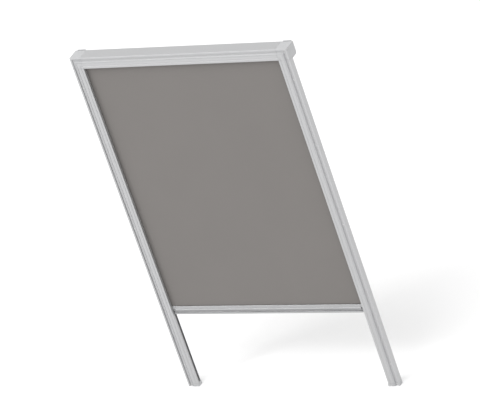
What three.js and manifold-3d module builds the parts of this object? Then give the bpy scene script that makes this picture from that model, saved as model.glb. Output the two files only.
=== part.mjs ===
// Blackout roller blind with side channels, in millimetres, +Z up.
//
// The blind hangs upright: X runs across it, Y from front to back and Z up the side channels.
// Its origin is the middle of its width and depth, at the level of the channels' feet.
// A sprung roller in the head takes up the fabric. A bar at the fabric's lower edge runs in
// the two channels on a pair of crossed cords, which keep it level and hold it where it is left.

import * as THREE from 'three';
import { mergeVertices } from 'three/addons/utils/BufferGeometryUtils.js';
import Module from 'manifold-3d';

const wasm = await Module();
wasm.setup();

// Driving dimensions of the blind
const daylightWidth = 569;
const blindHeight = 1021;
const channelFace = 32;
const headFace = 32;
const channelDepth = 18.5;
const fabricDepth = 12;
const barLift = 224.4;
const barHeight = 26;
const wall = 1.4;
const seatGap = 0.3;
const cutOverrun = 1;

// The moulding that runs round the head and the channels, as shares of its width and as depths
const beadEndShare = 0.2;
const crownEndShare = 0.515;
const shelfEndShare = 0.592;
const grooveStartShare = 0.662;
const grooveEndShare = 0.844;
const beadDepth = 0.3;
const beadRise = 0.8;
const crownRise = 1;
const fineLineShare = 0.02;
const fineLineDepth = 0.5;
const shelfDepth = 0.6;
const grooveDepth = 4.5;
const ridgeDepth = 1.5;
const ridgeRound = 1;
const faceBack = 2.6;
const beadSteps = 6;
const crownSteps = 8;
const ridgeSteps = 6;

// Side channels, their pile strips, feet and screws
const channelLipReach = 6.5;
const channelRearLipInset = 1;
const screwPlaceShares = [0.06, 0.5, 0.94];
const pileInset = 0.3;
const pileBackingWidth = 3.5;
const pileBackingThickness = 0.8;
const pileWidth = 2.1;
const footHeight = 8.5;
const footFlare = 2;
const footEdge = 0.8;
const footPlugRise = 12;
const footStopRise = 7.6;
const footStopInset = 8;
const channelScrewHeadRadius = 2.3;
const channelScrewHeadHeight = 1.2;
const channelScrewRadius = 1.25;
const channelScrewPointLength = 2;
const screwPlay = 0.12;
const roundSegments = 16;

// Fabric and how it winds
const fabricThickness = 0.3;
const turnGap = 0.04;
const tubeRadius = 11;
const barTopClearance = 8.6;
const turnsLeftOnTube = 1.5;
const fabricInChannel = 9;
const windingSteps = 32;
const windingGap = 0.15;

// Head casing
const rollClearance = 1.2;
const casingLowerCorner = 6;
const casingUpperCorner = 3;
const fabricSlotFront = 8;
const fabricSlotBack = 17.5;
const slotHookHeight = 3.5;
const portRadius = 1.3;
const portInset = 1.9;
const portBlock = 6.5;
const cornerSteps = 5;

// End caps, with the bearings in them
const capSideWall = 2;
const capWall = 2;
const capFrontWall = 2;
const railGap = 0.4;
const bossRadius = 5.5;
const bossStandOff = 0.7;
const pinRadius = 2.5;
const pinPlay = 0.08;
const rodSquareWidth = 6;
const rodSquarePlay = 0.1;
const screwTubeRadius = 3;
const capScrewRadius = 1.2;
const capScrewHeadRadius = 2.7;
const capScrewHeadHeight = 1.8;
const capScrewSink = 0.4;
const capScrewBite = 12;
const spigotLength = 15;
const anchorThickness = 4;
const anchorWidth = 5;
const anchorDrop = 10;

// Brackets that the end caps press onto
const bracketThickness = 1.5;
const bracketInset = 4;
const bracketTongueHeight = 2.4;
const bracketTongueReach = 0.8;
const bracketTongueInset = 5;
const bracketHoleRadius = 1.8;
const bracketHoleInset = 5;

// Roller
const tubeWall = 1;
const tubeEndPlay = 0.5;
const keywayWidth = 2.8;
const keywayDepth = 2.6;
const keySplineRadius = 1.1;
const tubeSteps = 36;
const plugLength = 15;
const plugPlay = 0.2;
const hubRadius = 6.5;
const hubLength = 2;
const rodReach = 180;
const springRadius = 4.6;
const springWireDiameter = 1.3;
const springTurns = 36;
const springStepsPerTurn = 8;
const springSides = 5;
const springEndGap = 0.3;
const rodCollarRadius = 6.3;
const rodCollarLength = 7;

// Bottom bar and its end pieces
const barBack = 18;
const ledgeFace = 9.6;
const noseFace = 8;
const lowerLipFace = 10.2;
const lowerLipHeight = 5.4;
const noseBottom = 12.4;
const noseTop = 17.4;
const fingerGrooveDepth = 3.2;
const fingerGrooveSteps = 8;
const noseSteps = 6;
const barEdge = 0.6;
const barWall = 1.2;
const hemPocketRadius = 1.55;
const hemPocketHeight = 20.3;
const hemSlotWidth = 1;
const hemSplineRadius = 1.3;
const hemPocketSteps = 14;
const barEndLength = 8.7;
const barEndPlay = 0.4;
const barEndRecess = 3;
const barPlugLength = 14;
const barPlugTop = 11.2;
const slideTongueFront = 0.4;
const slidePlay = 0.3;
const slideBlockInset = 7;
const slideBlockFront = 3.4;
const slideBlockBottom = 9;
const slideBlockTop = 25;
const sealSlotWidth = 1.6;
const sealSlotFoot = 3;
const sealSlotFootHeight = 1;
const sealSlotNeck = 1.2;
const sealPlace = 15.4;
const sealDrop = 1.6;
const sealPlay = 0.2;

// Guide cords and the ferrules on their ends
const cordRadius = 0.5;
const cordInset = 13;
const frontCordDepth = 14.6;
const rearCordDepth = 16;
const frontCordHeight = 16;
const rearCordHeight = 12.5;
const cordBendRadius = 2;
const cordSides = 8;
const cordBendSteps = 4;
const cordSlotPlay = 0.2;
const ferruleRadius = 1.4;
const ferruleLength = 3;
const ferrulePlay = 0.3;

// Sizes that follow from the ones above
const sideEdge = daylightWidth / 2;
const headBase = blindHeight - headFace;
const sheetCentre = fabricDepth + fabricThickness / 2;
const windingPitch = fabricThickness + turnGap;
const barTopHeight = barLift + barHeight;
const footStopTop = footHeight + footStopRise;
const travelDown = barLift + slideBlockBottom - seatGap - footStopTop;
const travelUp = headBase - barTopClearance - barTopHeight;
const woundAtRest = travelDown + turnsLeftOnTube * 2 * Math.PI * tubeRadius;
const woundFullyUp = woundAtRest + travelUp;
const rollRadius = Math.sqrt(tubeRadius ** 2 + (windingPitch * woundAtRest) / Math.PI);
const fullRollRadius = Math.sqrt(tubeRadius ** 2 + (windingPitch * woundFullyUp) / Math.PI);
const rollerDepth = fabricDepth + rollRadius;
const rollerHeight = headFace - wall - rollClearance - fullRollRadius;
const casingDepth = rollerDepth + fullRollRadius + rollClearance + wall;
const casingBottom = rollerHeight - fullRollRadius - rollClearance - wall;
const bracketBack = casingDepth + seatGap + bracketThickness;
const rollHalfWidth = sideEdge + fabricInChannel;
const tubeHalfLength = rollHalfWidth + tubeEndPlay;
const channelShelfEnd = shelfEndShare * channelFace;
const channelGrooveMiddle = ((grooveStartShare + grooveEndShare) / 2) * channelFace;
const channelWebFront = channelDepth - wall;

const colours = {
  aluminium: { color: 0xc3c4c6, roughness: 0.38, metalness: 0.85 },
  greyPlastic: { color: 0xbcbdbf, roughness: 0.5, metalness: 0 },
  darkPlastic: { color: 0x6f7073, roughness: 0.6, metalness: 0 },
  acetal: { color: 0xe6e6e2, roughness: 0.45, metalness: 0 },
  steel: { color: 0xa9abad, roughness: 0.35, metalness: 1 },
  springSteel: { color: 0x7c7d80, roughness: 0.4, metalness: 1 },
  blackout: { color: 0x868380, roughness: 0.9, metalness: 0 },
  pile: { color: 0x8b8a88, roughness: 1, metalness: 0 },
  cord: { color: 0xcfcfcc, roughness: 0.8, metalness: 0 },
};

// Outlines, with angles in degrees from the first of their two directions to the second

const topAngle = 90;
const fullTurn = 360;

function arc(centreA, centreB, radius, from, to, steps) {
  const points = [];
  for (let i = 0; i <= steps; i += 1) {
    const angle = THREE.MathUtils.degToRad(from + ((to - from) * i) / steps);
    points.push([centreA + radius * Math.cos(angle), centreB + radius * Math.sin(angle)]);
  }
  return points;
}

function rectangle(lowA, highA, lowB, highB) {
  return [[lowA, lowB], [highA, lowB], [highA, highB], [lowA, highB]];
}

function circle(centreA, centreB, radius, segments) {
  return arc(centreA, centreB, radius, 0, fullTurn, segments).slice(0, -1);
}

// A low rounded crest, as distance across the moulding and depth behind the front
function crest(from, to, depth, rise, steps) {
  const points = [];
  for (let i = 0; i <= steps; i += 1) {
    const across = i / steps;
    points.push([from + across * (to - from), depth + rise * (2 * across - 1) ** 2]);
  }
  return points;
}

// The moulding from its inner edge outwards: a bead, a crown between two fine lines, a shelf,
// a groove with one sloping side, and the outer ridge
function faceOutline(width) {
  const fineLine = fineLineShare * width;
  const beadEnd = beadEndShare * width;
  const crownEnd = crownEndShare * width;
  const grooveEnd = grooveEndShare * width;
  const lineDepth = crownRise + fineLineDepth;
  const points = crest(0, beadEnd, beadDepth, beadRise, beadSteps);
  points.push([beadEnd + fineLine / 2, lineDepth]);
  points.push(...crest(beadEnd + fineLine, crownEnd, 0, crownRise, crownSteps));
  points.push([crownEnd + fineLine / 2, lineDepth], [crownEnd + fineLine, shelfDepth]);
  points.push([shelfEndShare * width, shelfDepth], [grooveStartShare * width, grooveDepth]);
  points.push([grooveEnd, grooveDepth]);
  for (let i = 0; i <= ridgeSteps; i += 1) {
    const angle = Math.PI * (1 + i / ridgeSteps);
    const middle = (grooveEnd + width) / 2;
    const half = (width - grooveEnd) / 2;
    points.push([middle + half * Math.cos(angle), ridgeDepth + ridgeRound + ridgeRound * Math.sin(angle)]);
  }
  return points;
}

// Turns [across, depth] points of the moulding into the head's [depth, height] points
function swapped(points) {
  return points.map(([a, b]) => [b, a]);
}

// Solids

const alongX = new THREE.Matrix4().makeBasis(
  new THREE.Vector3(0, 1, 0), new THREE.Vector3(0, 0, 1), new THREE.Vector3(1, 0, 0));
const alongY = new THREE.Matrix4().makeBasis(
  new THREE.Vector3(0, 0, 1), new THREE.Vector3(1, 0, 0), new THREE.Vector3(0, 1, 0));

function extruded(points, holes, start, end) {
  const toVectors = (list) => list.map(([a, b]) => new THREE.Vector2(a, b));
  const shape = new THREE.Shape(toVectors(points));
  shape.holes = holes.map((hole) => new THREE.Path(toVectors(hole)));
  const geometry = new THREE.ExtrudeGeometry(shape, { depth: end - start, bevelEnabled: false });
  return geometry.translate(0, 0, start);
}

// The outline is given as [y, z] points
function barAlongX(points, start, end, holes = []) {
  return extruded(points, holes, start, end).applyMatrix4(alongX);
}

// The outline is given as [z, x] points
function barAlongY(points, start, end, holes = []) {
  return extruded(points, holes, start, end).applyMatrix4(alongY);
}

// The outline is given as [x, y] points
function barAlongZ(points, start, end, holes = []) {
  return extruded(points, holes, start, end);
}

function block(x, y, z) {
  return barAlongZ(rectangle(x[0], x[1], y[0], y[1]), z[0], z[1]);
}

function rodAlongY(x, z, radius, start, end, segments = roundSegments) {
  const geometry = new THREE.CylinderGeometry(radius, radius, end - start, segments);
  return geometry.translate(x, (start + end) / 2, z);
}

function rodAlongX(y, z, radius, start, end, segments = roundSegments) {
  return barAlongX(circle(y, z, radius, segments), start, end);
}

function toSolid(geometry) {
  const bare = geometry.clone();
  bare.deleteAttribute('normal');
  bare.deleteAttribute('uv');
  const merged = mergeVertices(bare);
  return new wasm.Manifold(new wasm.Mesh({
    numProp: 3,
    vertProperties: new Float32Array(merged.attributes.position.array),
    triVerts: new Uint32Array(merged.index.array),
  }));
}

function toGeometry(solid) {
  const mesh = solid.getMesh();
  const geometry = new THREE.BufferGeometry();
  geometry.setAttribute('position', new THREE.BufferAttribute(new Float32Array(mesh.vertProperties), 3));
  geometry.setIndex(new THREE.BufferAttribute(new Uint32Array(mesh.triVerts), 1));
  return geometry;
}

// Joins the first list of pieces and cuts the second list from them
function built(pieces, cuts = []) {
  const joined = pieces.map(toSolid).reduce((solid, next) => solid.add(next));
  return toGeometry(cuts.map(toSolid).reduce((solid, cut) => solid.subtract(cut), joined));
}

function inCommon(first, second) {
  return toGeometry(toSolid(first).intersect(toSolid(second)));
}

// The left-hand copy of a right-hand piece, with its triangles turned to face out again
function mirrored(geometry) {
  const copy = (geometry.index ? geometry.toNonIndexed() : geometry.clone()).scale(-1, 1, 1);
  const position = copy.attributes.position;
  for (let i = 0; i < position.count; i += 3) {
    const second = new THREE.Vector3().fromBufferAttribute(position, i + 1);
    const third = new THREE.Vector3().fromBufferAttribute(position, i + 2);
    position.setXYZ(i + 1, third.x, third.y, third.z);
    position.setXYZ(i + 2, second.x, second.y, second.z);
  }
  return copy;
}

function piece(name, geometry, colour, parent) {
  const mesh = new THREE.Mesh(geometry, new THREE.MeshStandardMaterial(colours[colour]));
  mesh.name = name;
  parent.add(mesh);
  return mesh;
}

function pair(name, rightGeometry, colour, parent) {
  piece(`${name}_right`, rightGeometry, colour, parent);
  piece(`${name}_left`, mirrored(rightGeometry), colour, parent);
}

// Moves a right-hand piece drawn from the channel's inner edge out to that edge
function atSide(geometry) {
  return geometry.translate(sideEdge, 0, 0);
}

const blind = new THREE.Group();
blind.position.y = -bracketBack / 2;
const head = new THREE.Group();
head.position.z = headBase;
const roller = new THREE.Group();
roller.position.set(0, rollerDepth, headBase + rollerHeight);
const bar = new THREE.Group();
bar.position.z = barLift;
blind.add(head, roller, bar);

// Side channels: an aluminium extrusion with a closed hollow under its screw groove and an
// open chamber behind its crowned face, where the fabric's edge and the bar's end run

function channelSection() {
  const outline = faceOutline(channelFace);
  outline.push([channelFace, channelDepth], [channelRearLipInset, channelDepth]);
  outline.push([channelRearLipInset, channelWebFront], [channelShelfEnd - wall, channelWebFront]);
  outline.push([channelShelfEnd - wall, faceBack], [wall, faceBack]);
  outline.push([wall, channelLipReach], [0, channelLipReach]);
  return outline;
}

function channelHollow(play) {
  return rectangle(channelShelfEnd + play, channelFace - wall - play,
    grooveDepth + wall + play, channelWebFront - play);
}

const channelStart = footHeight + seatGap;
const channelEnd = headBase - seatGap;
const screwHeights = screwPlaceShares.map((share) => channelStart + share * (channelEnd - channelStart));

function countersunkHole(x, z) {
  const headRadius = channelScrewHeadRadius + screwPlay;
  const sink = new THREE.CylinderGeometry(channelScrewRadius + screwPlay, headRadius,
    channelScrewHeadHeight, roundSegments);
  sink.translate(x, grooveDepth + channelScrewHeadHeight / 2, z);
  const mouth = rodAlongY(x, z, headRadius, grooveDepth - cutOverrun, grooveDepth);
  const shank = rodAlongY(x, z, channelScrewRadius + screwPlay, grooveDepth, channelDepth + cutOverrun);
  return [sink, mouth, shank];
}

function channelScrew(z) {
  const tip = channelDepth - seatGap;
  const profile = [
    [0, grooveDepth], [channelScrewHeadRadius, grooveDepth],
    [channelScrewRadius, grooveDepth + channelScrewHeadHeight],
    [channelScrewRadius, tip - channelScrewPointLength], [0, tip],
  ];
  const geometry = new THREE.LatheGeometry(profile.map(([r, y]) => new THREE.Vector2(r, y)), roundSegments);
  return geometry.translate(channelGrooveMiddle, 0, z);
}

const screwCuts = screwHeights.flatMap((z) => countersunkHole(channelGrooveMiddle, z));
const channelBar = barAlongZ(channelSection(), channelStart, channelEnd, [channelHollow(0)]);
pair('side_channel', atSide(built([channelBar], screwCuts)), 'aluminium', blind);

// Pile strips: a backing under the channel's face, and the pile that brushes the fabric

const pileStart = wall + pileInset;
const pileMiddle = pileStart + pileBackingWidth / 2;
const pileBackingFront = faceBack + pileInset;
const pileBackingBack = pileBackingFront + pileBackingThickness;
const pileStrip = barAlongZ([
  [pileStart, pileBackingFront], [pileStart + pileBackingWidth, pileBackingFront],
  [pileStart + pileBackingWidth, pileBackingBack], [pileMiddle + pileWidth / 2, pileBackingBack],
  [pileMiddle + pileWidth / 2, fabricDepth - seatGap], [pileMiddle - pileWidth / 2, fabricDepth - seatGap],
  [pileMiddle - pileWidth / 2, pileBackingBack], [pileStart, pileBackingBack],
], channelStart, channelEnd);
pair('channel_seal', atSide(pileStrip), 'pile', blind);

// Feet: moulded caps that close the channels' lower ends, flare inwards, and hold the cords

const cordSlot = {
  x: [cordInset - cordRadius - cordSlotPlay, cordInset + cordRadius + cordSlotPlay],
  y: [frontCordDepth - cordRadius - cordSlotPlay, rearCordDepth + cordRadius + cordSlotPlay],
};
const footShelf = footHeight - ferruleLength + ferrulePlay;

function footGeometry() {
  const moulded = barAlongZ(faceOutlineOfFoot(), 0, footHeight);
  const tapered = barAlongY([[0, -footFlare], [0, channelFace], [footHeight, channelFace], [footHeight, 0]],
    0, channelDepth);
  const hollowPlug = barAlongZ(channelHollow(seatGap), footHeight - cutOverrun, footHeight + footPlugRise);
  const stop = block([footStopInset, channelShelfEnd - wall - seatGap],
    [channelLipReach, channelWebFront - seatGap], [footHeight - cutOverrun, footStopTop]);
  const cordWay = block(cordSlot.x, cordSlot.y, [0, footStopTop + cutOverrun]);
  const pocket = block([cordInset - ferruleRadius - ferrulePlay, cordInset + ferruleRadius + ferrulePlay],
    [frontCordDepth - ferruleRadius - ferrulePlay, rearCordDepth + ferruleRadius + ferrulePlay],
    [-cutOverrun, footShelf]);
  return built([inCommon(moulded, tapered), hollowPlug, stop],
    [cordWay, pocket, ...countersunkHole(channelGrooveMiddle, footHeight / 2)]);
}

// The moulding's outline with its inner edge drawn out by the flare
function faceOutlineOfFoot() {
  const outline = faceOutline(channelFace);
  outline.push([channelFace, channelDepth], [-footFlare, channelDepth]);
  outline.push([-footFlare, beadDepth + footEdge], [footEdge - footFlare, beadDepth]);
  return outline.slice(beadSteps / 2);
}

pair('channel_foot', atSide(footGeometry()), 'greyPlastic', blind);

pair('foot_screw', atSide(channelScrew(footHeight / 2)), 'steel', blind);
screwHeights.forEach((z, i) => pair(`channel_screw_${i + 1}`, atSide(channelScrew(z)), 'steel', blind));

// Head casing: an aluminium extrusion that carries the moulding on its front, is open below
// for the fabric, and has two screw ports along its upper corners

function casingSection() {
  const lower = casingLowerCorner;
  const upper = casingUpperCorner;
  const innerLower = lower - wall;
  const back = casingDepth - wall;
  const top = headFace - wall;
  const shelfEnd = shelfEndShare * headFace;
  const innerStep = grooveDepth + wall;
  const outline = [[fabricSlotBack, casingBottom]];
  outline.push(...arc(casingDepth - lower, casingBottom + lower, lower, -90, 0, cornerSteps));
  outline.push(...arc(casingDepth - upper, headFace - upper, upper, 0, 90, cornerSteps));
  outline.push([ridgeDepth + 2 * ridgeRound, headFace]);
  outline.push(...swapped(faceOutline(headFace)).reverse());
  outline.push([fabricSlotFront, 0], [fabricSlotFront, slotHookHeight]);
  outline.push([fabricSlotFront - wall, slotHookHeight], [fabricSlotFront - wall, wall], [faceBack, wall]);
  outline.push([faceBack, shelfEnd - wall], [innerStep, shelfEnd - wall]);
  outline.push([innerStep, top - portBlock], [innerStep + portBlock, top]);
  outline.push([back - portBlock, top], [back, top - portBlock]);
  outline.push(...arc(casingDepth - lower, casingBottom + lower, innerLower, 0, -90, cornerSteps));
  outline.push([fabricSlotBack, casingBottom + wall]);
  return outline;
}

const portHeight = headFace - wall - portInset;
const portDepths = [grooveDepth + wall + portInset, casingDepth - wall - portInset];
const ports = portDepths.map((depth) => circle(depth, portHeight, portRadius, roundSegments));
const casing = barAlongX(casingSection(), -sideEdge + seatGap, sideEdge - seatGap, ports);
piece('head_casing', casing, 'aluminium', head);

const sealBackingBack = fabricSlotFront + seatGap + pileBackingThickness;
const sealMiddle = slotHookHeight / 2;
const headSeal = barAlongX([
  [fabricSlotFront + seatGap, 0], [sealBackingBack, 0],
  [sealBackingBack, sealMiddle - pileWidth / 2], [fabricDepth - seatGap, sealMiddle - pileWidth / 2],
  [fabricDepth - seatGap, sealMiddle + pileWidth / 2], [sealBackingBack, sealMiddle + pileWidth / 2],
  [sealBackingBack, slotHookHeight], [fabricSlotFront + seatGap, slotHookHeight],
], -sideEdge + seatGap, sideEdge - seatGap);
piece('head_light_seal', headSeal, 'pile', head);

// End caps: moulded housings on the casing's ends. On the front the channel's moulding turns
// into the head's at a mitre, and inside are the roller's bearing and the cord's anchor

const capInnerSide = channelFace - capSideWall;
const mitreDepth = grooveDepth + capFrontWall;
const mitreOverlap = 0.05;

function mitredFace() {
  const upright = faceOutline(channelFace);
  upright.push([channelFace, mitreDepth], [0, mitreDepth]);
  const level = swapped(faceOutline(headFace));
  level.push([mitreDepth, headFace], [mitreDepth, 0]);
  const belowMitre = barAlongY([[0, 0], [0, channelFace], [headFace, channelFace]],
    -cutOverrun, mitreDepth + cutOverrun);
  const aboveMitre = barAlongY([
    [-mitreOverlap, 0], [headFace - mitreOverlap, channelFace], [headFace, channelFace], [headFace, 0],
  ], -cutOverrun, mitreDepth + cutOverrun);
  const uprightRun = inCommon(barAlongZ(upright, 0, headFace), belowMitre);
  const levelRun = inCommon(barAlongX(level, 0, channelFace), aboveMitre);
  return built([uprightRun, levelRun]);
}

function capBody() {
  const outline = [[grooveDepth, 0], [channelDepth + railGap, 0], [channelDepth + railGap, casingBottom]];
  outline.push(...arc(casingDepth - casingLowerCorner, casingBottom + casingLowerCorner, casingLowerCorner,
    -90, 0, cornerSteps));
  outline.push(...arc(casingDepth - casingUpperCorner, headFace - casingUpperCorner, casingUpperCorner,
    0, 90, cornerSteps));
  outline.push([grooveDepth, headFace]);
  return barAlongX(outline, 0, channelFace);
}

function capCavity() {
  const front = mitreDepth;
  const step = channelDepth + railGap + capWall;
  const corner = casingLowerCorner - capWall;
  const outline = [[front, capWall], [step, capWall], [step, casingBottom + capWall]];
  outline.push(...arc(casingDepth - casingLowerCorner, casingBottom + casingLowerCorner, corner,
    -90, 0, cornerSteps));
  outline.push([casingDepth - capWall, headFace - capWall], [front, headFace - capWall]);
  return barAlongX(outline, -cutOverrun, capInnerSide);
}

function bracketTongues(play) {
  const half = bracketTongueHeight / 2 + play;
  const lowest = casingBottom + casingLowerCorner + bracketTongueInset;
  const highest = headFace - casingUpperCorner - bracketTongueInset;
  return [lowest, highest].map((middle) => [middle - half, middle + half]);
}

function capGeometry(bearing) {
  const boss = rodAlongX(rollerDepth, rollerHeight, bossRadius,
    tubeHalfLength - sideEdge + hubLength + bossStandOff, channelFace - capSideWall / 2);
  const screwTubes = portDepths.map((depth) =>
    rodAlongX(depth, portHeight, screwTubeRadius, 0, channelFace - capSideWall / 2));
  const anchor = block([cordInset - anchorWidth / 2, cordInset + anchorWidth / 2],
    [grooveDepth, rearCordDepth + cordRadius + wall],
    [headFace - anchorDrop - anchorThickness, headFace - anchorDrop]);
  const spigot = barAlongZ(channelHollow(seatGap), -spigotLength, capWall);
  const doorway = block([-cutOverrun, channelShelfEnd - wall],
    [mitreDepth, channelDepth + railGap + capWall], [casingBottom - cutOverrun, capWall + cutOverrun]);
  const cordWay = block(cordSlot.x, cordSlot.y, [casingBottom, headFace - anchorDrop + cutOverrun]);
  const screwWays = portDepths.map((depth) =>
    rodAlongX(depth, portHeight, capScrewRadius + screwPlay, -cutOverrun, channelFace));
  const headPockets = portDepths.map((depth) => rodAlongX(depth, portHeight, capScrewHeadRadius + screwPlay,
    channelFace - capScrewHeadHeight - capScrewSink, channelFace + cutOverrun));
  const grooves = bracketTongues(seatGap).map((z) => block(
    [bracketInset - seatGap, channelFace - bracketInset + seatGap],
    [casingDepth - bracketTongueReach - seatGap, casingDepth + cutOverrun], z));
  const shell = built([capBody()], [capCavity()]);
  return built([shell, mitredFace(), boss, ...screwTubes, anchor, spigot],
    [doorway, cordWay, ...screwWays, ...headPockets, ...grooves, bearing]);
}

const roundBearing = rodAlongX(rollerDepth, rollerHeight, pinRadius + pinPlay, 0, capInnerSide);
const squareHalf = rodSquareWidth / 2 + rodSquarePlay;
const squareBearing = barAlongX(rectangle(rollerDepth - squareHalf, rollerDepth + squareHalf,
  rollerHeight - squareHalf, rollerHeight + squareHalf), 0, capInnerSide);
piece('end_cap_right', atSide(capGeometry(roundBearing)), 'greyPlastic', head);
piece('end_cap_left', mirrored(atSide(capGeometry(squareBearing))), 'greyPlastic', head);

function capScrew(depth) {
  const headSeat = channelFace - capScrewHeadHeight - capScrewSink + seatGap;
  const headPiece = rodAlongX(depth, portHeight, capScrewHeadRadius, headSeat, channelFace - capScrewSink);
  const shank = rodAlongX(depth, portHeight, capScrewRadius, -capScrewBite, headSeat + seatGap);
  return atSide(built([headPiece, shank]));
}

pair('cap_screw_front', capScrew(portDepths[0]), 'steel', head);
pair('cap_screw_rear', capScrew(portDepths[1]), 'steel', head);

// Brackets: pressed steel plates with two screw holes, and two tongues for each end cap

function bracketGeometry() {
  const front = casingDepth + seatGap;
  const tongueTip = casingDepth - bracketTongueReach;
  const [lower, upper] = bracketTongues(0);
  const outline = [[bracketBack, casingBottom], [bracketBack, headFace], [front, headFace]];
  outline.push([front, upper[1]], [tongueTip, upper[1]], [tongueTip, upper[0]], [front, upper[0]]);
  outline.push([front, lower[1]], [tongueTip, lower[1]], [tongueTip, lower[0]], [front, lower[0]]);
  outline.push([front, casingBottom]);
  const plate = barAlongX(outline, bracketInset, channelFace - bracketInset);
  const holePlaces = [bracketInset + bracketHoleInset, channelFace - bracketInset - bracketHoleInset];
  const holes = holePlaces.map((x) => rodAlongY(x, headFace / 2, bracketHoleRadius,
    front - cutOverrun, bracketBack + cutOverrun));
  return built([plate], holes);
}

pair('mounting_bracket', atSide(bracketGeometry()), 'steel', head);

// Roller: a tube with a keyway for the fabric's edge, turning on a plug at each end

function keyedOutline(radius, width, depth, steps) {
  const half = width / 2;
  const halfOpening = THREE.MathUtils.radToDeg(Math.asin(half / radius));
  const outline = arc(0, 0, radius, topAngle + halfOpening, topAngle + fullTurn - halfOpening, steps);
  outline.push([half, radius - depth], [-half, radius - depth]);
  return outline;
}

function tubeInside(play) {
  return keyedOutline(tubeRadius - tubeWall - play, keywayWidth + 2 * (tubeWall + play),
    keywayDepth, tubeSteps);
}

const tube = barAlongX(keyedOutline(tubeRadius, keywayWidth, keywayDepth, tubeSteps),
  -tubeHalfLength, tubeHalfLength, [tubeInside(0)]);
piece('roller_tube', tube, 'aluminium', roller);

const keySpline = rodAlongX(0, tubeRadius - keySplineRadius - seatGap, keySplineRadius,
  -rollHalfWidth, rollHalfWidth, roundSegments / 2);
piece('fabric_key_spline', keySpline, 'darkPlastic', roller);

const plugInside = barAlongX(tubeInside(plugPlay), tubeHalfLength - plugLength, tubeHalfLength);
const hub = rodAlongX(0, 0, hubRadius, tubeHalfLength - cutOverrun, tubeHalfLength + hubLength);
const plugBore = rodAlongX(0, 0, pinRadius + pinPlay, tubeHalfLength - plugLength - cutOverrun,
  tubeHalfLength + hubLength + cutOverrun);
const plug = built([plugInside, hub], [plugBore]);
piece('idler_plug', plug, 'acetal', roller);
piece('drive_plug', mirrored(plug), 'acetal', roller);

// Fabric on the roller, one spiral from the tube out to where the sheet leaves it at the front
function windingOutline() {
  const radiusPerStep = windingPitch / windingSteps;
  const steps = Math.floor((rollRadius - fabricThickness - windingGap - tubeRadius) / radiusPerStep);
  const outer = [];
  const inner = [];
  for (let back = 0; back <= steps; back += 1) {
    const angle = Math.PI * (1 - (2 * back) / windingSteps);
    const radius = rollRadius - back * radiusPerStep;
    outer.push([radius * Math.cos(angle), radius * Math.sin(angle)]);
    inner.push([(radius - fabricThickness) * Math.cos(angle), (radius - fabricThickness) * Math.sin(angle)]);
  }
  return [...outer, ...inner.reverse()];
}

piece('fabric_roll', barAlongX(windingOutline(), -rollHalfWidth, rollHalfWidth), 'blackout', roller);

// Spring cartridge inside the tube: the rod is held from turning by its square end in the
// left cap, and the spring joins the rod's inner end to the plug that turns with the tube

const rodEnd = -(sideEdge + capInnerSide - seatGap);
const rodSquareEnd = -(tubeHalfLength + hubLength + bossStandOff);
const rodInnerEnd = rodSquareEnd + rodReach;
const halfRod = rodSquareWidth / 2;
const rod = built([
  barAlongX(rectangle(-halfRod, halfRod, -halfRod, halfRod), rodEnd, rodSquareEnd),
  rodAlongX(0, 0, pinRadius, rodSquareEnd - cutOverrun, rodInnerEnd),
]);
piece('spring_rod', rod, 'steel', roller);

const collarStart = rodInnerEnd - rodCollarLength;
const collar = built([rodAlongX(0, 0, rodCollarRadius, collarStart, rodInnerEnd)],
  [rodAlongX(0, 0, pinRadius + pinPlay, collarStart - cutOverrun, rodInnerEnd + cutOverrun)]);
piece('spring_collar', collar, 'acetal', roller);

// A coil round the X axis, from one end plug to the collar
class Coil extends THREE.Curve {
  constructor(start, end, radius, turns) {
    super();
    Object.assign(this, { start, end, radius, turns });
  }

  getPoint(share, target = new THREE.Vector3()) {
    const angle = 2 * Math.PI * this.turns * share;
    const along = THREE.MathUtils.lerp(this.start, this.end, share);
    return target.set(along, this.radius * Math.cos(angle), this.radius * Math.sin(angle));
  }
}

function roundShape(radius, sides) {
  return new THREE.Shape(circle(0, 0, radius, sides).map(([a, b]) => new THREE.Vector2(a, b)));
}

const springStart = -tubeHalfLength + plugLength + springEndGap + springWireDiameter / 2;
const springEnd = collarStart - springEndGap - springWireDiameter / 2;
const coil = new Coil(springStart, springEnd, springRadius, springTurns);
const spring = new THREE.ExtrudeGeometry(roundShape(springWireDiameter / 2, springSides),
  { steps: springTurns * springStepsPerTurn, extrudePath: coil });
piece('torsion_spring', spring, 'springSteel', roller);

const idlerPin = rodAlongX(0, 0, pinRadius, tubeHalfLength - plugLength, -rodEnd);
piece('idler_pin', idlerPin, 'steel', roller);

// Bottom bar: an aluminium extrusion with a flat ledge over the hem pocket, a rounded nose to
// pull by, a finger groove under it and a lower lip, and a hollow behind for the cords

const hemSlotFront = sheetCentre - hemSlotWidth / 2;
const hemSlotBack = sheetCentre + hemSlotWidth / 2;

function fingerGroove() {
  const points = [];
  for (let i = 0; i <= fingerGrooveSteps; i += 1) {
    const across = i / fingerGrooveSteps;
    const bulge = Math.sqrt(1 - (2 * across - 1) ** 2);
    const height = lowerLipHeight + across * (noseBottom - lowerLipHeight);
    points.push([lowerLipFace + fingerGrooveDepth * bulge, height]);
  }
  return points;
}

function noseOutline() {
  const points = [];
  for (let i = 0; i <= noseSteps; i += 1) {
    const angle = (Math.PI * i) / noseSteps;
    const height = noseBottom + ((noseTop - noseBottom) * (1 - Math.cos(angle))) / 2;
    points.push([ledgeFace - (ledgeFace - noseFace) * Math.sin(angle), height]);
  }
  return points;
}

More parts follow.
